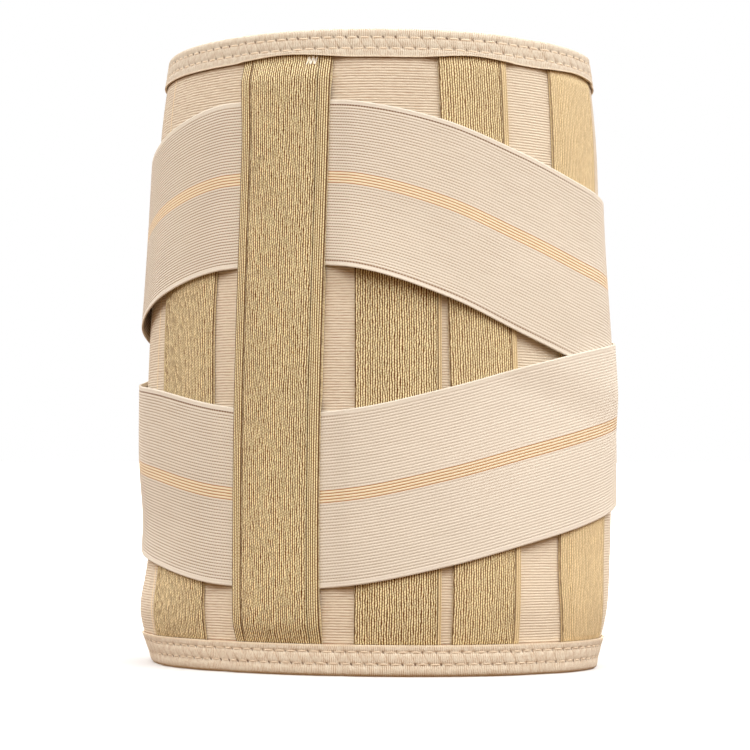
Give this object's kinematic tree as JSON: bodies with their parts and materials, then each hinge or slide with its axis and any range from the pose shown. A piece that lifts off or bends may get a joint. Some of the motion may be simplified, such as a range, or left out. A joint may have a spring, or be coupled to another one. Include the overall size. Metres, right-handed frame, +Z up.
{
  "type": "elastic support belt",
  "caption": "Tall elastic lumbar support belt closed into an oval tube, with bound edges, woven stay covers down the back and crossing elastic pull straps held at the front.",
  "frame": {"origin": "middle of the belt's box, on the surface that its lower edge stands on", "axes": "+Z up along the wearer's back, -Y towards the spine cover, +Y towards the front closure, +X to the wearer's right"},
  "size_m": [0.2458, 0.2046, 0.3],
  "materials": {
    "panel_elastic": "matt ribbed elastic",
    "edge_trim": "soft knitted trim",
    "stay_cover_weave": "satin woven tape",
    "strap_elastic": "matt ribbed elastic with a woven stripe",
    "closure_pad": "plain brushed pad"
  },
  "bodies": {
    "root": {"body_panel": "panel_elastic", "top_binding": "edge_trim", "bottom_binding": "edge_trim", "spine_stay_cover": "stay_cover_weave", "left_stay_cover": "stay_cover_weave", "right_stay_cover": "stay_cover_weave", "outer_right_stay_cover": "stay_cover_weave", "side_right_stay_cover": "stay_cover_weave", "upper_left_strap": "strap_elastic", "upper_right_strap": "strap_elastic", "lower_left_strap": "strap_elastic", "lower_right_strap": "strap_elastic", "front_closure_pad": "closure_pad"}
  },
  "joints": []
}
